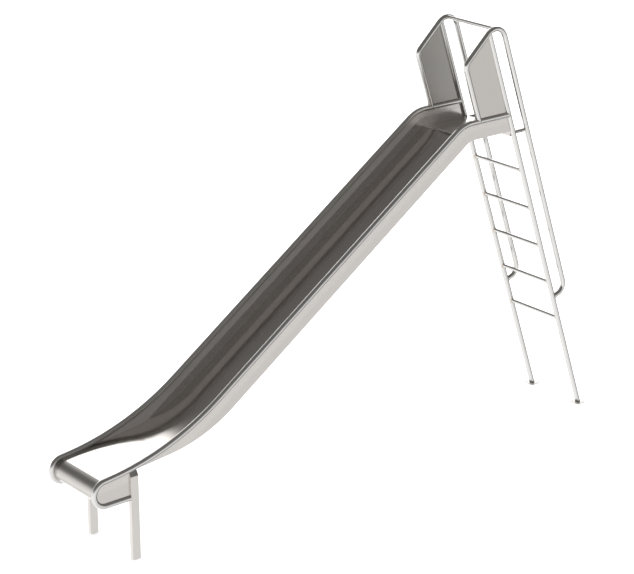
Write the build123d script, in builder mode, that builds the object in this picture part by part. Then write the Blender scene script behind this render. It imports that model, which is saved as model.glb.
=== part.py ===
from build123d import *
from math import cos, radians, sin, tan
import os

os.makedirs("parts", exist_ok=True)

# Free-standing straight slide in welded stainless steel. Millimetres, +Z up.
# The chute runs down towards -X and the ladder stands at +X. The object is
# symmetric about the XZ plane. z = 0 is the underside of the ladder's foot plates and
# of the front legs.

# ---- driving dimensions ----
inside_width = 480.0  # clear width between the side walls
sheet = 3.0  # bed, floor, side walls and end plates
panel_sheet = 2.0  # barrier panels
tube_d = 38.0  # stiles, rims, barrier rails and grab rails
tube_wall = 2.0
rung_d = 27.0  # rungs and the top crossbar
rung_wall = 2.0

first_rung_z = 735.0  # axis of the lowest rung
rung_rise = 300.0
rung_count = 5
ladder_lean = 71.0  # degrees between the stiles and the ground

platform_length = 400.0  # stile axis to the front edge of the floor
rim_height = 122.0  # rim axis above the floor
floor_bend_radius = 50.0
seam_land = 15.0  # flat strip of the bed behind its upper bend
rim_bend_radius = 260.0

slide_angle = 34.5  # degrees below level
slide_run = 3070.0  # level distance, front edge of the floor to the end loop
slope_depth = 140.0  # rim axis to the underside of the bed, square to the slope
run_out_angle = 6.0  # degrees below level
run_out_rim_z = 606.0  # rim axis where the end loop starts
run_out_rim_radius = 1880.0
run_out_land = 20.0  # shortest straight rim between its lower bend and the end loop
run_out_bed_radius = 1100.0
loop_radius = 85.0
roll_inset = 9.0  # end roll inside the axis of the end loop
roll_sweep = 160.0  # degrees of the end roll, from the bed's end round the nose

barrier_reach = 281.0  # level distance, stile axis to the front post axis
post_corner_height = 531.0  # floor to the corner above the front post
barrier_slope = 43.0  # degrees above level
stile_ear_trim = 4.0  # the coped ears of the stile end this far under the rail's axis
post_bend_radius = 60.0
apex_radius = 100.0
grab_rail_offset = 126.0  # stile axis to grab rail axis, square to both
grab_rail_foot_z = 911.0  # where the grab rail's axis meets the stile's
grab_rail_bend_radius = 70.0
joint_height = 30.0  # floor to the joint between barrier rail and grab rail
sleeve_length = 120.0

standoff_drop = 12.0  # below the floor's underside
stud_d = 14.0
spacer_d = 26.0
spacer_length = 31.0
spacer_gap = 6.0  # between the two spacers on one stud

beam_width = 40.0
beam_height = 40.0
beam_wall = 2.0

leg_width = 60.0
leg_depth = 30.0
leg_wall = 2.5
leg_setback = 222.0  # start of the end loop to the leg's centre
leg_bevel = 58.0  # degrees, outward slope of the leg's closed top
leg_drop = 8.0  # top inner edge of the leg below the rim axis
leg_cap = 3.0

foot_size = 80.0
foot_thickness = 6.0
anchor_hole_d = 11.0
anchor_spacing = 56.0

# ---- side profile, worked out in the XZ plane ----
ladder_tan = tan(radians(ladder_lean))
slide_tan = tan(radians(slide_angle))
run_out_tan = tan(radians(run_out_angle))
barrier_tan = tan(radians(barrier_slope))

rail_y = inside_width / 2 + sheet / 2  # plane of the walls, rims and stiles
tube_r = tube_d / 2
rung_r = rung_d / 2
floor_z = first_rung_z + rung_rise * rung_count + rung_r  # top of the floor
bed_base_z = floor_z - sheet
rim_z = floor_z + rim_height


def crossing(xz_a, slope_a, xz_b, slope_b):
    """The point where two lines of the side profile meet."""
    x = (xz_b[1] - xz_a[1] + slope_a * xz_a[0] - slope_b * xz_b[0]) / (slope_a - slope_b)
    return x, xz_a[1] + slope_a * (x - xz_a[0])


def tangent_length(turn, radius):
    """How far a rounded corner reaches back along its two lines."""
    return radius * tan(radians(turn / 2))


def along(point, angle, distance):
    """A point moved along a line that rises at an angle from level."""
    return (
        point[0] + distance * cos(radians(angle)),
        point[1] + distance * sin(radians(angle)),
    )


def square_off(point, angle, distance):
    """A point moved square to a line that rises at an angle, upwards."""
    return along(point, angle + 90, distance)


# distances forward of the ladder's foot, before the model is centred
floor_front = (bed_base_z - foot_thickness) / ladder_tan + platform_length
loop_start = floor_front + slide_run
loop_reach = loop_radius * (1 - sin(radians(run_out_angle))) + tube_r
overall_length = foot_size / 2 + loop_start + loop_reach
foot_x = overall_length / 2 - foot_size / 2  # ladder foot in the finished frame


def stile_x(z):
    """Position of the stile's axis at a given height."""
    return foot_x - (z - foot_thickness) / ladder_tan


end_x = foot_x - loop_start
floor_corner = (foot_x - floor_front, bed_base_z)
rim_rise = slope_depth / cos(radians(slide_angle))
slope_rim = (floor_corner[0], floor_corner[1] + rim_rise)
rim_corner = crossing(slope_rim, slide_tan, (0, rim_z), 0)
rim_end = (end_x, run_out_rim_z)
rim_low_corner = crossing(slope_rim, slide_tan, rim_end, run_out_tan)
low_turn = slide_angle - run_out_angle
rim_low_room = (rim_low_corner[0] - end_x) / cos(radians(run_out_angle)) - run_out_land
rim_low_radius = min(run_out_rim_radius, rim_low_room / tangent_length(low_turn, 1))
rim_bend_t = tangent_length(slide_angle, rim_bend_radius)
rim_low_t = tangent_length(low_turn, rim_low_radius)
rim_back = (stile_x(rim_z), rim_z)
rim_bend_end = along(rim_corner, slide_angle, -rim_bend_t)
rim_low_start = along(rim_low_corner, slide_angle, rim_low_t)

floor_bend_t = tangent_length(slide_angle, floor_bend_radius)
floor_seam_x = floor_corner[0] + floor_bend_t + seam_land

loop_centre = (
    rim_end[0] + loop_radius * sin(radians(run_out_angle)),
    rim_end[1] - loop_radius * cos(radians(run_out_angle)),
)
loop_low = (loop_centre[0], loop_centre[1] - loop_radius)
leg_x = end_x + leg_setback
leg_front_x = leg_x - leg_width / 2

# barrier rail: up the front post, along the slope, over the apex and down behind the stile
rail_gap = grab_rail_offset / sin(radians(ladder_lean))
post_base = (rim_back[0] - barrier_reach, rim_z)
post_corner_z = floor_z + post_corner_height
post_corner = (post_base[0] - (post_corner_z - rim_z) / ladder_tan, post_corner_z)
apex_corner = crossing(
    post_corner, barrier_tan, (foot_x + rail_gap, foot_thickness), -ladder_tan
)
joint_z = floor_z + joint_height
joint = (stile_x(joint_z) + rail_gap, joint_z)
stud_z = bed_base_z - standoff_drop
stud_x = stile_x(stud_z)
rail_split = ((post_corner[0] + apex_corner[0]) / 2, (post_corner[1] + apex_corner[1]) / 2)
apex_t = tangent_length(barrier_slope + ladder_lean, apex_radius)
apex_start = along(apex_corner, barrier_slope, -apex_t)
apex_centre = along(apex_start, barrier_slope - 90, apex_radius)
stile_top = crossing(post_corner, barrier_tan, (foot_x, foot_thickness), -ladder_tan)

grab_foot = (stile_x(grab_rail_foot_z), grab_rail_foot_z)
grab_corner = along(grab_foot, 90 - ladder_lean, grab_rail_offset)

# outline of the bed: underside, and top side a sheet above it
bed_end_top = square_off(rim_end, run_out_angle, -roll_inset)
bed_end = square_off(bed_end_top, run_out_angle, -sheet)
bed_low_corner = crossing(floor_corner, slide_tan, bed_end, run_out_tan)
bed_base = [(floor_seam_x, bed_base_z), floor_corner, bed_low_corner, bed_end]
slope_top_side = square_off(floor_corner, slide_angle, sheet)
bed_top = [
    (floor_seam_x, floor_z),
    crossing(slope_top_side, slide_tan, (0, floor_z), 0),
    crossing(slope_top_side, slide_tan, bed_end_top, run_out_tan),
    bed_end_top,
]
floor_back_x = stile_x(bed_base_z) + tube_r / sin(radians(ladder_lean))


def rim_z_at(x):
    """Height of the rim's axis in the run-out, at a given x."""
    arc_centre = along(rim_low_start, slide_angle + 90, rim_low_radius)
    return arc_centre[1] - (rim_low_radius**2 - (x - arc_centre[0]) ** 2) ** 0.5


HANDS = {"left": 1, "right": -1}


def side_plane(hand):
    """The plane of one wall, seen from the left of the slide."""
    return Plane.XZ.offset(hand * rail_y)


def path_in(plane, points, radius=None):
    """A path of straight runs, with its corners rounded where a radius is given."""
    with BuildLine(plane, mode=Mode.PRIVATE) as line:
        if radius is None:
            Polyline(*points)
        else:
            FilletPolyline(*points, radius=radius)
    return line.wire()


def ring(path, diameter, wall):
    """A tube's cross-section, square to the start of its path."""
    start = Plane(origin=path @ 0, z_dir=path % 0)
    with BuildSketch(start, mode=Mode.PRIVATE) as section:
        Circle(diameter / 2)
        Circle(diameter / 2 - wall, mode=Mode.SUBTRACT)
    return section.sketch


def rod(path, diameter):
    """The full round bar along a path, used to cope what is welded to its tube."""
    start = Plane(origin=path @ 0, z_dir=path % 0)
    with BuildPart() as bar:
        with BuildSketch(start):
            Circle(diameter / 2)
        sweep(path=path)
    return bar.part


def save(part, name):
    """Labels a finished piece and writes it to its own file."""
    part.label = name
    export_step(part, f"parts/{name}.step")


def main_body(part):
    """The largest solid, without the offcuts that coping leaves inside a tube."""
    return part.solids().sort_by(SortBy.VOLUME)[-1]


# ---- paths of the tubes, and full bars that cope what is welded to them ----
slope_top = along(rim_bend_end, slide_angle, -tube_d)
slope_bottom = along(rim_low_start, slide_angle, tube_d)
stile_start = (stile_x(-tube_r), -tube_r)
stile_end = along(stile_top, -ladder_lean, -tube_d)
ear_end = square_off(stile_top, barrier_slope, -stile_ear_trim)
paths, rods = {}, {}
for side, hand in HANDS.items():
    plane = side_plane(hand)
    with BuildLine(plane) as loop:
        CenterArc(loop_centre, loop_radius, 90 + run_out_angle, 180 - run_out_angle)
        Line(loop_low, (leg_front_x, loop_low[1]))
    paths[side] = {
        "stile": path_in(plane, [stile_start, stile_end]),
        "rim_platform": path_in(plane, [rim_back, rim_corner, slope_top], rim_bend_radius),
        "rim_slope": path_in(plane, [slope_top, slope_bottom]),
        "rim_run_out": path_in(plane, [slope_bottom, rim_low_corner, rim_end], rim_low_radius),
        "end_loop": loop.wire(),
        "front_post": path_in(plane, [post_base, post_corner, rail_split], post_bend_radius),
        "barrier_rail": path_in(plane, [rail_split, apex_corner, joint], apex_radius),
        "grab_rail": path_in(plane, [joint, grab_corner, grab_foot], grab_rail_bend_radius),
    }
    rods[side] = {name: rod(path, tube_d) for name, path in paths[side].items()}

both = [rods[side] for side in HANDS]
stile_rods = [bars["stile"] for bars in both]
rim_names = ["rim_platform", "rim_slope", "rim_run_out", "end_loop"]
rim_rods = [bars[name] for bars in both for name in rim_names]

# ---- ladder ----
for side, hand in HANDS.items():
    path = paths[side]["stile"]
    under_rail = Plane(
        origin=(ear_end[0], -hand * rail_y, ear_end[1]),
        z_dir=(-sin(radians(barrier_slope)), 0, cos(radians(barrier_slope))),
    )
    with BuildPart() as stile:
        sweep(sections=ring(path, tube_d, tube_wall), path=path)
        split(bisect_by=Plane.XY.offset(foot_thickness), keep=Keep.TOP)
        split(bisect_by=under_rail, keep=Keep.BOTTOM)
        add([rods[side]["front_post"], rods[side]["barrier_rail"]], mode=Mode.SUBTRACT)
    save(main_body(stile.part), f"stile_{side}")


def cross_plane(x, z):
    """A section plane at the left wall, facing the right one."""
    return Plane(origin=(x, -rail_y, z), x_dir=(1, 0, 0), z_dir=(0, 1, 0))


for n in range(rung_count):
    z = first_rung_z + n * rung_rise
    with BuildPart() as rung:
        with BuildSketch(cross_plane(stile_x(z), z)):
            Circle(rung_r)
            Circle(rung_r - rung_wall, mode=Mode.SUBTRACT)
        extrude(amount=2 * rail_y)
        add(stile_rods, mode=Mode.SUBTRACT)
    save(main_body(rung.part), f"rung_{n + 1}")

beam_z = bed_base_z - beam_height / 2
with BuildPart() as beam:
    with BuildSketch(Plane.XZ):
        with Locations((stile_x(beam_z), beam_z)):
            Rectangle(beam_width, beam_height)
            Rectangle(beam_width - 2 * beam_wall, beam_height - 2 * beam_wall, mode=Mode.SUBTRACT)
    extrude(amount=rail_y - tube_r / 2, both=True)
    add(stile_rods, mode=Mode.SUBTRACT)
save(main_body(beam.part), "platform_rear_beam")

for side, hand in HANDS.items():
    with BuildPart() as foot:
        with BuildSketch(Plane(origin=(foot_x, -hand * rail_y, 0))):
            Rectangle(foot_size, foot_size)
            with GridLocations(anchor_spacing, anchor_spacing, 2, 2):
                Circle(anchor_hole_d / 2, mode=Mode.SUBTRACT)
        extrude(amount=foot_thickness)
    save(foot.part, f"ladder_foot_plate_{side}")

# ---- chute ----
with BuildPart() as floor:
    with BuildSketch(Plane.XZ.offset(-inside_width / 2)):
        with BuildLine():
            Polyline(
                (floor_seam_x, bed_base_z),
                (floor_back_x, bed_base_z),
                (floor_back_x, floor_z),
                (floor_seam_x, floor_z),
                close=True,
            )
        make_face()
    extrude(amount=inside_width)
    add(stile_rods, mode=Mode.SUBTRACT)
save(main_body(floor.part), "platform_floor")

with BuildPart() as bed:
    with BuildSketch(Plane.XZ.offset(-inside_width / 2)):
        with BuildLine():
            under = FilletPolyline(*bed_base, radius=[floor_bend_radius, run_out_bed_radius])
            over = FilletPolyline(
                *bed_top, radius=[floor_bend_radius + sheet, run_out_bed_radius - sheet]
            )
            Line(under @ 0, over @ 0)
            Line(under @ 1, over @ 1)
        make_face()
    extrude(amount=inside_width)
    add(rim_rods, mode=Mode.SUBTRACT)
save(main_body(bed.part), "slide_bed")

roll_r = loop_radius - roll_inset
with BuildPart() as roll:
    with BuildSketch(Plane.XZ.offset(-inside_width / 2)):
        with BuildLine():
            outer = CenterArc(loop_centre, roll_r, 90 + run_out_angle, roll_sweep)
            inner = CenterArc(loop_centre, roll_r - sheet, 90 + run_out_angle, roll_sweep)
            Line(outer @ 0, inner @ 0)
            Line(outer @ 1, inner @ 1)
        make_face()
    extrude(amount=inside_width)
    add(rim_rods, mode=Mode.SUBTRACT)
save(main_body(roll.part), "end_roll")

for side, hand in HANDS.items():
    plane = side_plane(hand)
    bars = rods[side]
    for name in rim_names:
        path = paths[side][name]
        with BuildPart() as rim:
            sweep(sections=ring(path, tube_d, tube_wall), path=path)
            if name == "rim_platform":
                add(bars["stile"], mode=Mode.SUBTRACT)
        save(main_body(rim.part), f"{name}_{side}")

    with BuildPart() as wall:
        with BuildSketch(plane):
            with BuildLine():
                crest = FilletPolyline(
                    rim_back, rim_corner, rim_low_corner, rim_end,
                    radius=[rim_bend_radius, rim_low_radius],
                )
                base = FilletPolyline(
                    (stile_x(bed_base_z), bed_base_z), floor_corner, bed_low_corner, bed_end,
                    radius=[floor_bend_radius, run_out_bed_radius],
                )
                Line(crest @ 0, base @ 0)
                Line(crest @ 1, base @ 1)
            make_face()
        extrude(amount=sheet / 2, both=True)
        add([bars[name] for name in ["stile", *rim_names]], mode=Mode.SUBTRACT)
    save(main_body(wall.part), f"side_wall_{side}")

    rim_at_leg = (leg_front_x, rim_z_at(leg_front_x))
    with BuildPart() as end_plate:
        with BuildSketch(plane):
            with BuildLine():
                nose = CenterArc(loop_centre, loop_radius, 90 + run_out_angle, 180 - run_out_angle)
                Polyline(nose @ 1, (leg_front_x, loop_low[1]), rim_at_leg, nose @ 0)
            make_face()
        extrude(amount=sheet / 2, both=True)
        add([bars["rim_run_out"], bars["end_loop"]], mode=Mode.SUBTRACT)
    save(main_body(end_plate.part), f"end_plate_{side}")

    # front leg: a box section whose top falls outwards from under the rim
    leg_y = -hand * rail_y
    inner_edge = (leg_y + hand * leg_depth / 2, rim_z_at(leg_x) - leg_drop)
    leg_plane = Plane(origin=(leg_x, leg_y, 0))
    bevel = Plane(
        origin=(leg_x, *inner_edge),
        x_dir=(1, 0, 0),
        z_dir=(0, -hand * sin(radians(leg_bevel)), cos(radians(leg_bevel))),
    )
    with BuildPart() as leg:
        with BuildSketch(leg_plane):
            Rectangle(leg_width, leg_depth)
            Rectangle(leg_width - 2 * leg_wall, leg_depth - 2 * leg_wall, mode=Mode.SUBTRACT)
        extrude(amount=rim_z)
        split(bisect_by=bevel.offset(-leg_cap), keep=Keep.BOTTOM)
        add([bars["rim_run_out"], bars["end_loop"], bed.part, wall.part], mode=Mode.SUBTRACT)
    save(main_body(leg.part), f"front_leg_{side}")

    with BuildPart() as cap:
        with BuildSketch(leg_plane):
            Rectangle(leg_width, leg_depth)
        extrude(amount=rim_z)
        split(bisect_by=bevel, keep=Keep.BOTTOM)
        split(bisect_by=bevel.offset(-leg_cap), keep=Keep.TOP)
        add([bars["rim_run_out"], bars["end_loop"], bed.part, wall.part], mode=Mode.SUBTRACT)
    save(main_body(cap.part), f"leg_cap_{side}")

# ---- barrier and grab rails ----
for side, hand in HANDS.items():
    plane = side_plane(hand)
    bars = rods[side]
    for name, cut_by in (("front_post", "rim_platform"), ("barrier_rail", None), ("grab_rail", "stile")):
        path = paths[side][name]
        with BuildPart() as rail:
            sweep(sections=ring(path, tube_d, tube_wall), path=path)
            if cut_by:
                add(bars[cut_by], mode=Mode.SUBTRACT)
        save(main_body(rail.part), f"{name}_{side}")

    sleeve_half = sleeve_length / 2
    sleeve_path = path_in(
        plane,
        [along(joint, -ladder_lean, -sleeve_half), along(joint, -ladder_lean, sleeve_half)],
    )
    with BuildPart() as sleeve:
        sweep(sections=ring(sleeve_path, tube_d - 2 * tube_wall, tube_wall), path=sleeve_path)
    save(sleeve.part, f"rail_sleeve_{side}")

    with BuildPart() as panel:
        with BuildSketch(plane):
            with BuildLine():
                Polyline(post_base, post_corner, stile_top, rim_back, close=True)
            make_face()
        extrude(amount=panel_sheet / 2, both=True)
        names = ["stile", "rim_platform", "front_post", "barrier_rail"]
        add([bars[name] for name in names], mode=Mode.SUBTRACT)
    save(main_body(panel.part), f"barrier_panel_{side}")

    stud_start = Plane(origin=(stud_x, -hand * rail_y, stud_z), z_dir=(1, 0, 0))
    with BuildPart() as stud:
        with BuildSketch(stud_start):
            Circle(stud_d / 2)
        extrude(amount=rail_gap)
        add([bars["stile"], bars["grab_rail"]], mode=Mode.SUBTRACT)
    save(main_body(stud.part), f"standoff_stud_{side}")

    with BuildPart() as spacers:
        for n in (-1, 1):
            near = rail_gap / 2 + n * (spacer_gap + spacer_length) / 2 - spacer_length / 2
            with BuildSketch(stud_start.offset(near)):
                Circle(spacer_d / 2)
                Circle(stud_d / 2, mode=Mode.SUBTRACT)
            extrude(amount=spacer_length)
    save(spacers.part, f"standoff_spacers_{side}")

# ---- crossbar between the two apexes ----
with BuildPart() as crossbar:
    with BuildSketch(cross_plane(apex_centre[0], apex_centre[1] + apex_radius)):
        Circle(rung_r)
        Circle(rung_r - rung_wall, mode=Mode.SUBTRACT)
    extrude(amount=2 * rail_y)
    add([bars["barrier_rail"] for bars in both], mode=Mode.SUBTRACT)
save(main_body(crossbar.part), "top_crossbar")
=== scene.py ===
from math import cos, pi, radians, sin, sqrt

import bpy
from bpy.props import FloatProperty, FloatVectorProperty, IntProperty, PointerProperty
from mathutils import Matrix, Vector


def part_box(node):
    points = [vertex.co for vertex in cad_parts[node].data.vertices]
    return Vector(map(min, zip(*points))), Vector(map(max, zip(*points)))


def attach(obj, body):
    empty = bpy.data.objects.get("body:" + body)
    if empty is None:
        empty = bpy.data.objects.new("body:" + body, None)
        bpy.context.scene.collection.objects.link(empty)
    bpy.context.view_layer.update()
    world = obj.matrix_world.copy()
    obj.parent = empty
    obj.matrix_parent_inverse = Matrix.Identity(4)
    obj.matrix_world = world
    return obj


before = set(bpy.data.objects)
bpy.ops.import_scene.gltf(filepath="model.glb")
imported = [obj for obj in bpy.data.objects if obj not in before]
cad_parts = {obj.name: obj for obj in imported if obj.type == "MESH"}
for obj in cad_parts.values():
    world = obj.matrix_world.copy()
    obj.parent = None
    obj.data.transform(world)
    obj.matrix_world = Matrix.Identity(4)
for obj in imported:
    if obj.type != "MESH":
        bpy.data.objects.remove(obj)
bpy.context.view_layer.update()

bl_info = {
    "name": "Stainless playground slide",
    "version": (1, 0, 0),
    "blender": (4, 5, 0),
    "location": "3D View > Sidebar > Slide",
    "description": "Finishes, weld beads and a plain studio for a straight stainless slide",
    "category": "Object",
}

SIDES = ("left", "right")


# ---- places read from the frame ----
def middle(node):
    """Centre of a CAD node's box."""
    low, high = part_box(node)
    return (low + high) / 2


RUNGS = sorted(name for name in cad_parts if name.startswith("rung_"))
RUNG_CENTRES = [middle(name) for name in RUNGS]
RUNG_RADIUS = (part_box("rung_1")[1].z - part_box("rung_1")[0].z) / 2
TUBE_RADIUS = (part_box("rim_slope_left")[1].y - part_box("rim_slope_left")[0].y) / 2
STILE_AXIS = (RUNG_CENTRES[-1] - RUNG_CENTRES[0]).normalized()
RAIL_Y = {side: middle(f"stile_{side}").y for side in SIDES}
# the joint of the rails is a plane square to the stile, through this point of both boxes
JOINT = Vector((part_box("grab_rail_left")[0].x, 0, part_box("barrier_rail_left")[0].z))
SEAM_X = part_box("platform_floor")[0].x
FLOOR_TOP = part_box("platform_floor")[1].z
FRONT_TO_SEAM = 0.0305  # level distance from the floor's front corner back to its seam
FLOOR_FRONT = SEAM_X - FRONT_TO_SEAM
RIM_AXIS_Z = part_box("rim_platform_left")[1].z - TUBE_RADIUS
SLOPE = radians(34.5)
RUN_OUT = radians(6.0)
LEAN = radians(71.0)
BARRIER_REACH = 0.281  # level distance from the stile's axis to the front post's
GRAB_FOOT_Z = 0.911  # where the grab rail's axis meets the stile's
RAIL_GAP = 0.126 / sin(LEAN)  # level distance from the stile's axis to the grab rail's
WALL_MIDDLE = RAIL_Y["right"]  # the walls' and panels' middle plane, and the tubes' axes

# ---- measures of the finishes ----
PANEL_INSIDE_SHADE = 0.55  # share of the panel's brightness that its inner face keeps under painted shade
RUB_ON_SLOPE = 0.083  # height of the rubbed part of a wall above the floor's front corner
RUB_ON_FLOOR = 0.07  # the same on the platform
RUB_LOW = Vector((-2.0, 0, 0.545))  # a point of the same line on the run-out
RUB_FADE = 0.012
SEAM_HALF, SEAM_CLEAR = 0.0015, 0.004  # where the ground seam is full, and where it ends
JOINT_HALF, JOINT_CLEAR = 0.0004, 0.0011
TINT_OFFSET = 0.0055  # from a rung's surface to the middle of its ring of heat tint
TUBE_BUMP, SATIN_BUMP, ROLL_BUMP = 0.00004, 0.00004, 0.00002
BED_BUMP, WALL_BUMP, WELD_BUMP = 0.000004, 0.0000006, 0.00006
STUB = 0.1  # how far before its joint a tube's cope line is aimed from


def on_stile(y, z):
    """The point of a stile's axis at a given height."""
    low = RUNG_CENTRES[0]
    return Vector((low.x, y, low.z)) + STILE_AXIS * ((z - low.z) / STILE_AXIS.z)


# ---- sizes and colours a user would change ----
class SlideWelds(bpy.types.PropertyGroup):
    bead_width: FloatProperty(
        name="Bead width", description="Width of a weld bead", default=0.0048, unit="LENGTH"
    )
    ripple_pitch: FloatProperty(
        name="Ripple pitch", description="Distance between two ripples", default=0.0021,
        unit="LENGTH",
    )
    seed: IntProperty(name="Seed", description="Order of the ripples' small differences", default=7)


class SlideSteel(bpy.types.PropertyGroup):
    tube_colour: FloatVectorProperty(
        name="Tube colour", description="Polished tubes", subtype="COLOR",
        default=(0.70, 0.69, 0.675), min=0, max=1,
    )
    sheet_colour: FloatVectorProperty(
        name="Sheet colour", description="Sheet of the chute", subtype="COLOR",
        default=(0.60, 0.575, 0.55), min=0, max=1,
    )
    panel_colour: FloatVectorProperty(
        name="Panel colour", description="Barrier panels", subtype="COLOR",
        default=(0.615, 0.59, 0.555), min=0, max=1,
    )
    leg_colour: FloatVectorProperty(
        name="Leg colour", description="Box sections and foot plates", subtype="COLOR",
        default=(0.71, 0.685, 0.655), min=0, max=1,
    )
    weld_colour: FloatVectorProperty(
        name="Weld colour", description="Cleaned weld beads", subtype="COLOR",
        default=(0.52, 0.51, 0.50), min=0, max=1,
    )
    straw_tint: FloatVectorProperty(
        name="Straw tint", description="Heat tint left beside a weld", subtype="COLOR",
        default=(0.66, 0.56, 0.42), min=0, max=1,
    )
    matt_share: FloatProperty(
        name="Matt share", description="How far the satin part of a wall is from bare metal",
        default=0.20, subtype="FACTOR",
    )
    rim_roughness: FloatProperty(
        name="Rim roughness", description="Roughness of the rims", default=0.30, subtype="FACTOR"
    )
    tube_roughness: FloatProperty(
        name="Tube roughness", description="Roughness of the tubes", default=0.20, subtype="FACTOR"
    )
    mirror_roughness: FloatProperty(
        name="Sliding roughness", description="Roughness of the sliding surfaces", default=0.10,
        subtype="FACTOR",
    )
    satin_roughness: FloatProperty(
        name="Satin roughness", description="Roughness of the ground sheet", default=0.34,
        subtype="FACTOR",
    )


class SlideStudio(bpy.types.PropertyGroup):
    floor_colour: FloatVectorProperty(
        name="Floor colour", description="Plain pale floor", subtype="COLOR",
        default=(0.93, 0.93, 0.93), min=0, max=1,
    )
    floor_size: FloatProperty(
        name="Floor size", description="Side of the floor", default=400.0, unit="LENGTH"
    )
    back_light: FloatProperty(
        name="Back light", description="Brightness of the white walls behind the slide",
        default=2.2,
    )
    front_light: FloatProperty(
        name="Front light", description="Brightness of the walls in front of the slide",
        default=1.25,
    )
    side_light: FloatProperty(
        name="Side light", description="Brightness of the wall facing the slide's near side",
        default=0.98,
    )
    ceiling_light: FloatProperty(
        name="Ceiling light", description="Brightness of the studio's ceiling", default=0.165
    )
    back_edge: FloatProperty(
        name="Back edge", description="Elevation where the ceiling starts, behind the slide",
        default=radians(37.0), subtype="ANGLE",
    )
    front_edge: FloatProperty(
        name="Front edge", description="Elevation where the ceiling starts, in front",
        default=radians(9.0), subtype="ANGLE",
    )
    back_heading: FloatProperty(
        name="Back heading", description="Heading of the middle of the back wall, from +X",
        default=radians(55.0), subtype="ANGLE",
    )
    side_heading: FloatProperty(
        name="Side heading", description="Heading of the dimmer side wall, from +X",
        default=radians(-55.0), subtype="ANGLE",
    )
    right_flag: FloatProperty(
        name="Right flag", description="Heading of the dark flag on the right, from +X",
        default=radians(-3.0), subtype="ANGLE",
    )
    right_flag_width: FloatProperty(
        name="Right flag width", description="Half width of the right flag",
        default=radians(33.0), subtype="ANGLE",
    )
    left_flag: FloatProperty(
        name="Left flag", description="Heading of the dark flag on the left, from +X",
        default=radians(100.0), subtype="ANGLE",
    )
    left_flag_width: FloatProperty(
        name="Left flag width", description="Half width of the left flag",
        default=radians(15.0), subtype="ANGLE",
    )
    lamp_strength: FloatProperty(
        name="Lamp strength", description="Soft overhead light on the floor", default=5.5
    )
    lamp_angle: FloatProperty(
        name="Lamp angle", description="Spread of the overhead light", default=radians(160.0),
        subtype="ANGLE",
    )
    camera_place: FloatVectorProperty(
        name="Camera place", description="Where the camera stands", subtype="TRANSLATION",
        default=(-8.8737, -10.6070, 6.4030), unit="LENGTH",
    )
    camera_yaw: FloatProperty(
        name="Camera yaw", description="Heading of the view, from +X towards +Y",
        default=radians(50.65), subtype="ANGLE",
    )
    camera_pitch: FloatProperty(
        name="Camera pitch", description="How far the view looks down", default=radians(20.09),
        subtype="ANGLE",
    )
    lens: FloatProperty(name="Lens", description="Focal length in millimetres", default=123.51)


# ---- shader maths ----
def bare(value):
    """A node socket, or the plain value that a socket takes."""
    return value.link if isinstance(value, Signal) else value


class Signal:
    """One output of a shader node. Arithmetic on it adds Math nodes."""

    def __init__(self, finish, link):
        self.finish, self.link = finish, link

    def maths(self, operation, first, second=0.0, third=0.0):
        return self.finish.node(
            "Math", {"operation": operation}, {0: first, 1: second, 2: third}
        )["Value"]

    def __add__(self, other):
        return self.maths("ADD", self, other)

    def __radd__(self, other):
        return self.maths("ADD", other, self)

    def __sub__(self, other):
        return self.maths("SUBTRACT", self, other)

    def __rsub__(self, other):
        return self.maths("SUBTRACT", other, self)

    def __mul__(self, other):
        return self.maths("MULTIPLY", self, other)

    def __rmul__(self, other):
        return self.maths("MULTIPLY", other, self)

    def __truediv__(self, other):
        return self.maths("DIVIDE", self, other)

    def __rtruediv__(self, other):
        return self.maths("DIVIDE", other, self)

    def __abs__(self):
        return self.maths("ABSOLUTE", self)

    def minimum(self, other):
        return self.maths("MINIMUM", self, other)

    def maximum(self, other):
        return self.maths("MAXIMUM", self, other)

    def nearest(self, period):
        """Signed distance to the nearest whole multiple of a period."""
        return self - self.maths("ROUND", self / period) * period

    def band(self, full, clear):
        """1 where the value is up to full, falling smoothly to 0 at clear."""
        return self.finish.node(
            "MapRange",
            {"interpolation_type": "SMOOTHSTEP"},
            {"Value": self, "From Min": full, "From Max": clear, "To Min": 1.0, "To Max": 0.0},
        )["Result"]

    def rise(self, clear, full):
        """0 where the value is below clear, rising smoothly to 1 at full."""
        return 1.0 - self.band(clear, full)


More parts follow.
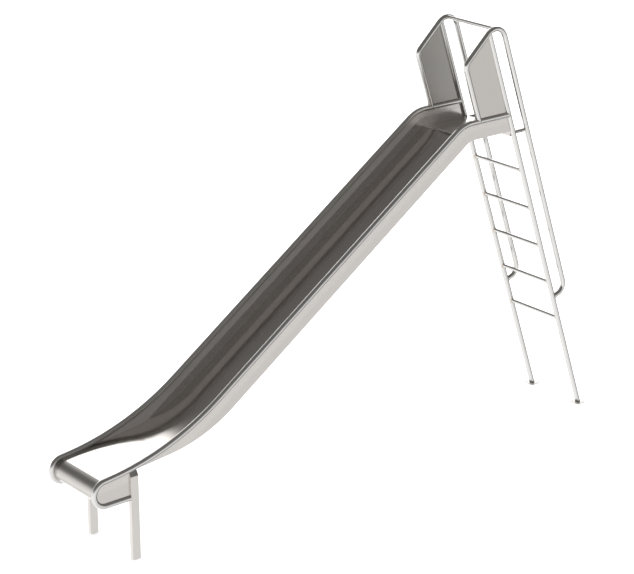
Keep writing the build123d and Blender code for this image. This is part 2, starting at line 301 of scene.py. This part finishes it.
class Finish:
    """A material, or the world, whose nodes are added one by one."""

    def __init__(self, owner):
        owner.use_nodes = True
        self.owner, self.tree = owner, owner.node_tree
        self.tree.nodes.clear()

    def node(self, kind, settings=None, inputs=None):
        """Adds a node, sets it up, feeds its sockets and returns its outputs by name."""
        made = self.tree.nodes.new(f"ShaderNode{kind}")
        for key, value in (settings or {}).items():
            if key == "stops":
                ramp = made.color_ramp
                while len(ramp.elements) < len(value):
                    ramp.elements.new(1.0)
                for element, (place, colour) in zip(ramp.elements, value):
                    element.position, element.color = place, (*colour, 1.0)
            else:
                setattr(made, key, value)
        by_name = {s.name: s for s in reversed(made.inputs)}
        by_name.update({s.identifier: s for s in made.inputs})
        for key, value in (inputs or {}).items():
            socket = made.inputs[key] if isinstance(key, int) else by_name[key]
            value = bare(value)
            if isinstance(value, bpy.types.NodeSocket):
                self.tree.links.new(value, socket)
            elif hasattr(socket.default_value, "__len__") and len(value) < len(socket.default_value):
                socket.default_value = (*value, 1.0)
            else:
                socket.default_value = value
        outputs = {s.name: Signal(self, s) for s in reversed(made.outputs) if s.enabled}
        outputs["node"] = made
        return outputs

    def place(self):
        """Object coordinates, whole and split."""
        point = self.node("TexCoord")["Object"]
        parts = self.node("SeparateXYZ", {}, {"Vector": point})
        return point, parts["X"], parts["Y"], parts["Z"]

    def stretched(self, point, scale, turn=0.0):
        """Coordinates scaled along the axes, after a turn about Y."""
        turned = self.node(
            "VectorRotate", {"rotation_type": "Y_AXIS"}, {"Vector": point, "Angle": turn}
        )["Vector"]
        return self.node("VectorMath", {"operation": "MULTIPLY"}, {0: turned, 1: scale})["Vector"]

    def noise(self, point, scale, detail=3.0, roughness=0.55):
        return self.node(
            "TexNoise", {},
            {"Vector": point, "Scale": scale, "Detail": detail, "Roughness": roughness},
        )["Factor" if bpy.app.version >= (5, 0, 0) else "Fac"]

    def mix(self, factor, first, second):
        """Two colours mixed."""
        return self.node(
            "Mix", {"data_type": "RGBA"},
            {"Factor_Float": factor, "A_Color": first, "B_Color": second},
        )["Result"]

    def bump(self, height, distance, strength=1.0):
        return self.node(
            "Bump", {}, {"Height": height, "Distance": distance, "Strength": strength}
        )["Normal"]

    def steel(self, colour, roughness, normal, metal=1.0):
        """Stainless steel to the output; ground matt, it is a little less than metallic."""
        shader = self.node(
            "BsdfPrincipled", {},
            {"Base Color": colour, "Roughness": roughness, "Normal": normal, "Metallic": metal},
        )["BSDF"]
        self.node("OutputMaterial", {}, {"Surface": shader})
        return self.owner


def new_finish(name):
    return Finish(bpy.data.materials.new(name))


def shade(colour, factor):
    return tuple(channel * factor for channel in colour)


def grain(finish, point, across, along, turn=0.0, axis="X"):
    """Fine grinding lines that run along one axis after a turn about Y."""
    scale = {"X": (along, across, across), "Y": (across, along, across)}.get(
        axis, (across, across, along)
    )
    return finish.noise(finish.stretched(point, scale, turn), 1.0, 2.0, 0.6)


def clouded(finish, point, colour, spread):
    """Base colour with the slow, faint unevenness of handled steel."""
    cloud = finish.noise(point, 5.0, 4.0, 0.6)
    return finish.mix(cloud, shade(colour, 1.0 - spread), shade(colour, 1.0 + spread)), cloud


# ---- finishes ----
def tube_finish(name, turn, roughness, joint=False, rungs=False):
    """Polished tube whose grinding lines run round it, square to its main run."""
    steel = bpy.context.scene.slide_steel
    finish = new_finish(name)
    point, x, y, z = finish.place()
    colour, cloud = clouded(finish, point, steel.tube_colour, 0.035)
    lines = grain(finish, point, 60.0, 900.0, turn)
    roughness = roughness + 0.09 * (cloud - 0.5) + 0.10 * (lines - 0.5)
    height = lines
    if rungs:
        low = RUNG_CENTRES[0]
        run = (x - low.x) * STILE_AXIS.x + (z - low.z) * STILE_AXIS.z
        pitch = (RUNG_CENTRES[1] - low).length
        rise = run.nearest(pitch)
        side = (x - low.x) * STILE_AXIS.z - (z - low.z) * STILE_AXIS.x
        square = rise * rise + side * side
        reach = square.maths("SQRT", square)
        ring = abs(reach - (RUNG_RADIUS + TINT_OFFSET)).band(0.001, 0.006)
        inside = abs(y).band(WALL_MIDDLE - 0.006, WALL_MIDDLE)
        ladder = abs(run - pitch * (len(RUNGS) - 1) / 2).band(pitch * 2.2, pitch * 2.3)
        tint = ring * inside * ladder * (0.25 + 0.5 * finish.noise(point, 160.0, 2.0))
        colour = finish.mix(tint, colour, steel.straw_tint)
        roughness = roughness + 0.12 * tint
    if joint:
        run = (z - JOINT.z) * sin(LEAN) - (x - JOINT.x) * cos(LEAN)
        gap = abs(run).band(JOINT_HALF, JOINT_CLEAR)
        colour = finish.mix(gap * 0.85, colour, (0.03, 0.03, 0.03))
        roughness = roughness + 0.3 * gap
        height = height - 6.0 * gap
    return finish.steel(colour, roughness, finish.bump(height, TUBE_BUMP))


def rung_finish():
    """Rungs and crossbar: polished, with the tread worn brighter in the middle."""
    steel = bpy.context.scene.slide_steel
    finish = new_finish("rung_steel")
    point, x, y, z = finish.place()
    colour, cloud = clouded(finish, point, steel.tube_colour, 0.035)
    lines = grain(finish, point, 60.0, 900.0, 0.0, "Y")
    tread = abs(y).band(0.07, 0.17)
    roughness = steel.tube_roughness + 0.08 * (cloud - 0.5) + 0.1 * (lines - 0.5) + 0.04 * tread
    return finish.steel(colour, roughness, finish.bump(lines, TUBE_BUMP))


def zone_height(x, slope_z, floor_z, run_out_z, run_out_x):
    """Height of a line that follows the platform, the slope and the run-out."""
    tilted = (x - FLOOR_FRONT) * (sin(SLOPE) / cos(SLOPE)) + slope_z
    low = (x - run_out_x) * (sin(RUN_OUT) / cos(RUN_OUT)) + run_out_z
    return tilted.minimum(floor_z).maximum(low)


def sliding_finish():
    """Bed and floor: mirror-like, with wear running down the slide."""
    steel = bpy.context.scene.slide_steel
    finish = new_finish("sliding_sheet_steel")
    point, x, y, z = finish.place()
    colour, cloud = clouded(finish, point, steel.sheet_colour, 0.04)
    lines = grain(finish, point, 160.0, 1.2, SLOPE)
    scuffs = grain(finish, point, 70.0, 1.1, SLOPE).band(0.36, 0.42)
    centre = abs(y).band(0.08, 0.19)
    wear = centre * (0.5 + 0.5 * cloud)
    roughness = steel.mirror_roughness + 0.04 * wear + 0.02 * (lines - 0.5) + 0.012 * scuffs
    seam = abs(x - SEAM_X).band(SEAM_HALF, SEAM_CLEAR)
    colour = finish.mix(seam * 0.8, colour, shade(steel.sheet_colour, 1.5))
    roughness = roughness + 0.3 * seam
    height = 0.12 * lines - 0.5 * seam + 0.04 * scuffs
    return finish.steel(colour, roughness, finish.bump(height, BED_BUMP))


def wall_finish():
    """Side walls and end plates: bright low down where children rub them, satin under the rim."""
    steel = bpy.context.scene.slide_steel
    finish = new_finish("side_wall_steel")
    point, x, y, z = finish.place()
    colour, cloud = clouded(finish, point, steel.sheet_colour, 0.035)
    lines = grain(finish, point, 220.0, 2.0, SLOPE)
    rubbed_top = zone_height(
        x, FLOOR_TOP + RUB_ON_SLOPE, FLOOR_TOP + RUB_ON_FLOOR, RUB_LOW.z, RUB_LOW.x
    )
    inside = abs(y).band(WALL_MIDDLE, WALL_MIDDLE + 0.001)
    satin = (rubbed_top - z).band(0.0, RUB_FADE) * 0.6 + 0.4 * inside
    polished = x.rise(FLOOR_FRONT - 0.03, FLOOR_FRONT + 0.03) * inside
    satin = satin * (1.0 - 0.35 * polished)
    rub = 1.0 - satin
    roughness = steel.satin_roughness * satin + steel.mirror_roughness * 1.4 * rub
    roughness = roughness + 0.02 * (lines - 0.5) + 0.03 * (cloud - 0.5)
    metal = 1.0 - steel.matt_share * satin
    return finish.steel(colour, roughness, finish.bump(lines, WALL_BUMP), metal)


def satin_finish(name, colour, grain_axis, turn=0.0, inside_shade=1.0):
    """Ground sheet or box section with straight grain; painted shade can darken the faces turned
    inwards.
    """
    steel = bpy.context.scene.slide_steel
    finish = new_finish(name)
    point, x, y, z = finish.place()
    bright, cloud = clouded(finish, point, colour, 0.04)
    inside = abs(y).band(WALL_MIDDLE - 0.0003, WALL_MIDDLE + 0.0003)
    # painted shade: the faces turned inwards are darkened to inside_shade of the colour
    colour = finish.mix(inside, bright, shade(colour, inside_shade))
    lines = grain(finish, point, 900.0, 7.0, turn, grain_axis)
    prints = finish.noise(point, 22.0, 3.0, 0.7).band(0.32, 0.42)
    roughness = steel.satin_roughness + 0.10 * (lines - 0.5) + 0.06 * (cloud - 0.5)
    roughness = roughness - 0.05 * prints
    return finish.steel(colour, roughness, finish.bump(lines, SATIN_BUMP))


def roll_finish():
    """End roll: satin, with painted shade darkening its top."""
    steel = bpy.context.scene.slide_steel
    finish = new_finish("roll_steel")
    point, x, y, z = finish.place()
    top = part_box("end_roll")[1].z
    bright, cloud = clouded(finish, point, steel.leg_colour, 0.04)
    # painted shade: the colour darkens towards the top of the roll
    top_shade = z.rise(top - 0.11, top + 0.005)
    colour = finish.mix(top_shade, bright, shade(steel.leg_colour, 0.44))
    lines = grain(finish, point, 900.0, 7.0, 0.0, "Y")
    roughness = steel.satin_roughness + 0.08 * (lines - 0.5) + 0.06 * (cloud - 0.5)
    return finish.steel(colour, roughness, finish.bump(lines, ROLL_BUMP))


def weld_finish():
    """Cleaned weld metal with traces of heat tint."""
    steel = bpy.context.scene.slide_steel
    finish = new_finish("weld_bead_steel")
    point, x, y, z = finish.place()
    tint = finish.noise(point, 240.0, 3.0, 0.6)
    colour = finish.mix(tint.band(0.40, 0.55), steel.weld_colour, steel.straw_tint)
    fine = finish.noise(point, 2600.0, 2.0, 0.5)
    return finish.steel(colour, 0.30 + 0.2 * tint, finish.bump(fine, WELD_BUMP))


def dress(material, *nodes):
    """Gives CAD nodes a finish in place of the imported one."""
    for name in nodes:
        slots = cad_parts[name].material_slots
        if not slots:
            raise RuntimeError(f"{name} has no material slot")
        for slot in slots:
            slot.material = material


def both(*names):
    return [f"{name}_{side}" for name in names for side in SIDES]


# ---- weld beads ----
def bead_tree():
    """Geometry Nodes that lay overlapping ripples along wire paths."""
    tree = bpy.data.node_groups.new("weld_bead", "GeometryNodeTree")
    sockets = tree.interface
    sockets.new_socket("Path", in_out="INPUT", socket_type="NodeSocketGeometry")
    for name, kind in (
        ("Bead Width", "NodeSocketFloat"), ("Ripple Pitch", "NodeSocketFloat"),
        ("Seed", "NodeSocketInt"), ("Finish", "NodeSocketMaterial"),
    ):
        sockets.new_socket(name, in_out="INPUT", socket_type=kind)
    sockets.new_socket("Beads", in_out="OUTPUT", socket_type="NodeSocketGeometry")

    def add(kind, settings=None, **feeds):
        made = tree.nodes.new(kind)
        for key, value in (settings or {}).items():
            setattr(made, key, value)
        for key, value in feeds.items():
            socket = made.inputs[key.replace("_", " ")]
            if isinstance(value, bpy.types.NodeSocket):
                tree.links.new(value, socket)
            else:
                socket.default_value = value
        return made

    given = tree.nodes.new("NodeGroupInput").outputs
    curve = add("GeometryNodeMeshToCurve", Mesh=given["Path"])
    points = add(
        "GeometryNodeCurveToPoints", {"mode": "LENGTH"},
        Curve=curve.outputs["Curve"], Length=given["Ripple Pitch"],
    )
    size = add("FunctionNodeRandomValue", {"data_type": "FLOAT"}, Seed=given["Seed"])
    size.inputs["Min"].default_value, size.inputs["Max"].default_value = 0.88, 1.12
    size.inputs[2].default_value, size.inputs[3].default_value = 0.88, 1.12
    width = add("ShaderNodeMath", {"operation": "MULTIPLY"})
    tree.links.new(given["Bead Width"], width.inputs[0])
    tree.links.new(next(s for s in size.outputs if s.enabled), width.inputs[1])
    ripple = add("GeometryNodeMeshUVSphere", Segments=8, Rings=5, Radius=0.5)
    round_ripple = add(
        "GeometryNodeSetShadeSmooth", Geometry=ripple.outputs["Mesh"], Shade_Smooth=True
    )
    laid = add(
        "GeometryNodeInstanceOnPoints",
        Points=points.outputs["Points"], Instance=round_ripple.outputs["Geometry"],
        Rotation=points.outputs["Rotation"],
    )
    tree.links.new(width.outputs[0], laid.inputs["Scale"])
    solid = add("GeometryNodeRealizeInstances", Geometry=laid.outputs["Instances"])
    finished = add(
        "GeometryNodeSetMaterial", Geometry=solid.outputs["Geometry"], Material=given["Finish"]
    )
    tree.links.new(finished.outputs["Geometry"], tree.nodes.new("NodeGroupOutput").inputs["Beads"])
    return tree


def lay_beads(name, paths):
    """One piece of weld beads along a list of point lists; a closed path repeats its start."""
    welds = bpy.context.scene.slide_welds
    wire = bpy.data.meshes.new(f"{name}_path")
    points, edges = [], []
    for path in paths:
        closed = (path[0] - path[-1]).length < 1e-6
        kept = path[:-1] if closed else path
        first = len(points)
        points += [tuple(p) for p in kept]
        edges += [(first + n, first + n + 1) for n in range(len(kept) - 1)]
        if closed:
            edges.append((first + len(kept) - 1, first))
    wire.from_pydata(points, edges, [])
    guide = bpy.data.objects.new(f"{name}_guide", wire)
    bpy.context.scene.collection.objects.link(guide)
    tree = bpy.data.node_groups.get("weld_bead") or bead_tree()
    modifier = guide.modifiers.new("beads", "NODES")
    modifier.node_group = tree
    keys = {item.name: item.identifier for item in tree.interface.items_tree}
    material = bpy.data.materials.get("weld_bead_steel") or weld_finish()
    modifier[keys["Bead Width"]] = welds.bead_width
    modifier[keys["Ripple Pitch"]] = welds.ripple_pitch
    modifier[keys["Seed"]] = welds.seed
    modifier[keys["Finish"]] = material
    bpy.context.view_layer.update()
    shown = guide.evaluated_get(bpy.context.evaluated_depsgraph_get())
    mesh = bpy.data.meshes.new_from_object(shown)
    guide.modifiers.remove(modifier)
    bpy.data.objects.remove(guide)
    if not mesh.polygons:
        raise RuntimeError(f"{name} has no beads")
    mesh.name = name
    if not mesh.materials or mesh.materials[0] is None:
        mesh.materials.clear()
        mesh.materials.append(material)
    piece = bpy.data.objects.new(name, mesh)
    bpy.context.scene.collection.objects.link(piece)
    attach(piece, "root")
    return piece


def cope_ring(start, aim, radius, through, axis, main_radius, steps=48, lift=0.0006):
    """The line where a tube that aims at another one meets its surface."""
    aim, axis = aim.normalized(), axis.normalized()
    across = aim.cross(axis).normalized()
    up = across.cross(aim)
    ring = []
    for n in range(steps + 1):
        turn = 2 * pi * n / steps
        out = across * cos(turn) + up * sin(turn)
        edge = start + out * radius
        rel = edge - through
        flat = rel - axis * rel.dot(axis)
        way = aim - axis * aim.dot(axis)
        a, b, c = way.dot(way), flat.dot(way), flat.dot(flat) - main_radius**2
        run = (-b - sqrt(max(b * b - a * c, 0.0))) / a
        ring.append(edge + aim * run + out * lift - aim * lift)
    ring[-1] = ring[0].copy()
    return ring


# ---- operators: finishes ----
class SLIDE_OT_ladder(bpy.types.Operator):
    """Finishes the stiles, the rungs and the top crossbar"""
    bl_idname = "slide.ladder"
    bl_label = "Ladder"

    def execute(self, context):
        roughness = context.scene.slide_steel.tube_roughness
        dress(tube_finish("stile_steel", LEAN, roughness, rungs=True), *both("stile"))
        dress(rung_finish(), *RUNGS, "top_crossbar")
        return {"FINISHED"}


class SLIDE_OT_rails(bpy.types.Operator):
    """Finishes the front posts, the barrier rails and the grab rails"""
    bl_idname = "slide.rails"
    bl_label = "Barrier and grab rails"

    def execute(self, context):
        dress(
            tube_finish(
                "rail_steel", LEAN, context.scene.slide_steel.tube_roughness, joint=True
            ),
            *both("front_post", "barrier_rail", "grab_rail", "rail_sleeve"),
        )
        return {"FINISHED"}


class SLIDE_OT_rims(bpy.types.Operator):
    """Finishes the rim tubes of the chute and its end loops"""
    bl_idname = "slide.rims"
    bl_label = "Rims"

    def execute(self, context):
        dress(
            tube_finish("rim_steel", SLOPE, context.scene.slide_steel.rim_roughness),
            *both("rim_platform", "rim_slope", "rim_run_out", "end_loop"),
        )
        return {"FINISHED"}


class SLIDE_OT_chute(bpy.types.Operator):
    """Finishes the bed, the floor, the end roll and the side walls"""
    bl_idname = "slide.chute"
    bl_label = "Chute"

    def execute(self, context):
        dress(sliding_finish(), "slide_bed", "platform_floor")
        dress(roll_finish(), "end_roll")
        dress(wall_finish(), *both("side_wall", "end_plate"))
        return {"FINISHED"}


class SLIDE_OT_panels(bpy.types.Operator):
    """Finishes the two barrier panels"""
    bl_idname = "slide.panels"
    bl_label = "Barrier panels"

    def execute(self, context):
        colour = context.scene.slide_steel.panel_colour
        # the panels' inner faces get painted shade
        finish = satin_finish("panel_steel", colour, "Z", inside_shade=PANEL_INSIDE_SHADE)
        dress(finish, *both("barrier_panel"))
        return {"FINISHED"}


class SLIDE_OT_legs(bpy.types.Operator):
    """Finishes the front legs, the ladder's foot plates and the beam behind the floor"""
    bl_idname = "slide.legs"
    bl_label = "Legs and plates"

    def execute(self, context):
        colour = context.scene.slide_steel.leg_colour
        dress(satin_finish("leg_steel", colour, "Z"), *both("front_leg"))
        dress(satin_finish("leg_cap_steel", shade(colour, 0.9), "X"), *both("leg_cap"))
        dress(
            satin_finish("plate_steel", shade(colour, 0.85), "X"),
            *both("ladder_foot_plate"),
        )
        dress(satin_finish("beam_steel", colour, "Y"), "platform_rear_beam")
        return {"FINISHED"}


class SLIDE_OT_fixings(bpy.types.Operator):
    """Finishes the standoffs between the stiles and the rails"""
    bl_idname = "slide.fixings"
    bl_label = "Standoffs"

    def execute(self, context):
        colour = shade(context.scene.slide_steel.tube_colour, 0.8)
        dress(
            satin_finish("standoff_steel", colour, "Y"), *both("standoff_stud", "standoff_spacers")
        )
        return {"FINISHED"}


# ---- operators: welds ----
class SLIDE_OT_rung_welds(bpy.types.Operator):
    """Lays a weld bead round each end of each rung and of the top crossbar"""
    bl_idname = "slide.rung_welds"
    bl_label = "Rung welds"

    def execute(self, context):
        for side in SIDES:
            y = RAIL_Y[side]
            aim = Vector((0, 1 if y > 0 else -1, 0))
            rings = [
                cope_ring(
                    centre, aim, RUNG_RADIUS, Vector((centre.x, y, centre.z)), STILE_AXIS,
                    TUBE_RADIUS,
                )
                for centre in RUNG_CENTRES
            ]
            lay_beads(f"rung_welds_{side}", rings)
            bar = middle("top_crossbar")
            tangent = Vector((1, 0, 0))
            ring = cope_ring(bar, aim, RUNG_RADIUS, Vector((bar.x, y, bar.z)), tangent, TUBE_RADIUS)
            lay_beads(f"crossbar_weld_{side}", [ring])
        return {"FINISHED"}


class SLIDE_OT_rail_welds(bpy.types.Operator):
    """Lays weld beads where posts, rims and grab rails meet other tubes"""
    bl_idname = "slide.rail_welds"
    bl_label = "Rail welds"

    def execute(self, context):
        for side in SIDES:
            y = RAIL_Y[side]
            down_post = Vector((cos(LEAN), 0, -sin(LEAN)))
            base = on_stile(y, RIM_AXIS_Z) - Vector((BARRIER_REACH, 0, 0))
            rings = [
                cope_ring(
                    base - down_post * STUB, down_post, TUBE_RADIUS, base, Vector((1, 0, 0)),
                    TUBE_RADIUS,
                )
            ]
            back = on_stile(y, RIM_AXIS_Z)
            rings.append(
                cope_ring(
                    back - Vector((STUB, 0, 0)), Vector((1, 0, 0)), TUBE_RADIUS, back, STILE_AXIS,
                    TUBE_RADIUS,
                )
            )
            foot = on_stile(y, GRAB_FOOT_Z)
            outward = Vector((sin(LEAN), 0, cos(LEAN)))
            rings.append(
                cope_ring(
                    foot + outward * STUB, -outward, TUBE_RADIUS, foot, STILE_AXIS, TUBE_RADIUS
                )
            )
            stud = middle(f"standoff_stud_{side}")
            stud_radius = (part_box(f"standoff_stud_{side}")[1] - stud).z
            level = Vector((1, 0, 0))
            for way in (-1, 1):
                axis_point = on_stile(y, stud.z) + level * (RAIL_GAP if way > 0 else 0)
                rings.append(
                    cope_ring(
                        Vector((stud.x, y, stud.z)), level * way, stud_radius, axis_point,
                        STILE_AXIS, TUBE_RADIUS,
                    )
                )
            lay_beads(f"rail_welds_{side}", rings)
        return {"FINISHED"}


# ---- operators: studio ----
def lay_floor(studio):
    """The pale floor, which reflections don't show."""
    half = studio.floor_size / 2
    mesh = bpy.data.meshes.new("studio_floor")
    corners = [(-half, -half, 0), (half, -half, 0), (half, half, 0), (-half, half, 0)]
    mesh.from_pydata(corners, [], [(0, 1, 2, 3)])
    floor = bpy.data.objects.new("studio_floor", mesh)
    bpy.context.scene.collection.objects.link(floor)
    finish = new_finish("studio_floor")
    point, x, y, z = finish.place()
    speckle = finish.noise(point, 3.0, 2.0)
    colour = finish.mix(speckle, shade(studio.floor_colour, 0.995), studio.floor_colour)
    shader = finish.node(
        "BsdfPrincipled", {},
        {"Base Color": colour, "Roughness": 0.9, "Specular IOR Level": 0.0},
    )["BSDF"]
    finish.node("OutputMaterial", {}, {"Surface": shader})
    mesh.materials.append(finish.owner)
    floor.visible_glossy = False


def paint_walls(studio):
    """The world: bright walls, dark flags and a dark ceiling, by direction."""
    world = bpy.data.worlds.new("studio")
    bpy.context.scene.world = world
    sky = Finish(world)
    parts = sky.node("SeparateXYZ", {}, {"Vector": sky.node("TexCoord")["Generated"]})
    x, y, height = parts["X"], parts["Y"], parts["Z"]
    square = x * x + y * y
    level = square.maths("SQRT", square).maximum(0.001)

    def facing(heading):
        """Cosine of the level angle between a direction and a heading."""
        return (x * cos(heading) + y * sin(heading)) / level

    def flag(heading, width):
        return facing(heading).rise(cos(width), cos(width * 0.8))

    back = facing(studio.back_heading).rise(0.25, 0.75)
    edge = sin(studio.front_edge) + (sin(studio.back_edge) - sin(studio.front_edge)) * back
    walls = (height - edge).band(-0.03, 0.03)
    side = facing(studio.side_heading).rise(0.45, 0.85)
    flags = flag(studio.right_flag, studio.right_flag_width).maximum(
        0.75 * flag(studio.left_flag, studio.left_flag_width)
    )
    wall = studio.front_light + (studio.back_light - studio.front_light) * back
    wall = wall + (studio.side_light - wall) * side
    wall = wall + (studio.ceiling_light - wall) * flags
    light = studio.ceiling_light + (wall - studio.ceiling_light) * walls
    warmth = sky.mix(walls, (1.0, 0.965, 0.93), (1.0, 1.0, 1.0))
    background = sky.node("Background", {}, {"Color": warmth, "Strength": light})
    sky.node("OutputWorld", {}, {"Surface": background["Background"]})


def hang_lamp(studio):
    """The soft overhead light on the floor."""
    lamp = bpy.data.lights.new("overhead", "SUN")
    lamp.energy, lamp.angle = studio.lamp_strength, studio.lamp_angle
    overhead = bpy.data.objects.new("overhead", lamp)
    overhead.visible_glossy = False
    bpy.context.scene.collection.objects.link(overhead)


def stand_camera(studio):
    """The camera, at its place and heading."""
    data = bpy.data.cameras.new("camera")
    data.sensor_width, data.lens = 36.0, studio.lens
    data.clip_start, data.clip_end = 0.1, 1000.0
    camera = bpy.data.objects.new("camera", data)
    bpy.context.scene.collection.objects.link(camera)
    yaw, pitch = studio.camera_yaw, studio.camera_pitch
    ahead = Vector((cos(yaw) * cos(pitch), sin(yaw) * cos(pitch), -sin(pitch)))
    right = Vector((sin(yaw), -cos(yaw), 0))
    turn = Matrix((right, right.cross(ahead), -ahead)).transposed().to_4x4()
    camera.matrix_world = Matrix.Translation(studio.camera_place) @ turn
    bpy.context.scene.camera = camera


class SLIDE_OT_stage(bpy.types.Operator):
    """Sets the pale floor, the soft studio light and the camera"""
    bl_idname = "slide.stage"
    bl_label = "Studio"

    def execute(self, context):
        studio = context.scene.slide_studio
        lay_floor(studio)
        paint_walls(studio)
        hang_lamp(studio)
        stand_camera(studio)
        context.scene.view_settings.view_transform = "Standard"
        return {"FINISHED"}


PIECES = (
    SLIDE_OT_ladder, SLIDE_OT_rails, SLIDE_OT_rims, SLIDE_OT_chute, SLIDE_OT_panels,
    SLIDE_OT_legs, SLIDE_OT_fixings, SLIDE_OT_rung_welds, SLIDE_OT_rail_welds, SLIDE_OT_stage,
)
GROUPS = {"slide_welds": SlideWelds, "slide_steel": SlideSteel, "slide_studio": SlideStudio}


class SLIDE_PT_panel(bpy.types.Panel):
    """Lists the slide's settings and the operators that make it"""
    bl_idname = "SLIDE_PT_panel"
    bl_label = "Slide"
    bl_space_type = "VIEW_3D"
    bl_region_type = "UI"
    bl_category = "Slide"

    def draw(self, context):
        for group, kind in GROUPS.items():
            box = self.layout.box()
            for name in kind.__annotations__:
                box.prop(getattr(context.scene, group), name)
        for piece in PIECES:
            self.layout.operator(piece.bl_idname)


def register():
    for kind in (*GROUPS.values(), *PIECES, SLIDE_PT_panel):
        bpy.utils.register_class(kind)
    for name, kind in GROUPS.items():
        setattr(bpy.types.Scene, name, PointerProperty(type=kind))


def unregister():
    for name in GROUPS:
        delattr(bpy.types.Scene, name)
    for kind in (SLIDE_PT_panel, *reversed(PIECES), *reversed(GROUPS.values())):
        bpy.utils.unregister_class(kind)


def main():
    register()
    for piece in PIECES:
        getattr(bpy.ops.slide, piece.bl_idname.split(".")[1])()


if __name__ == "__main__":
    main()
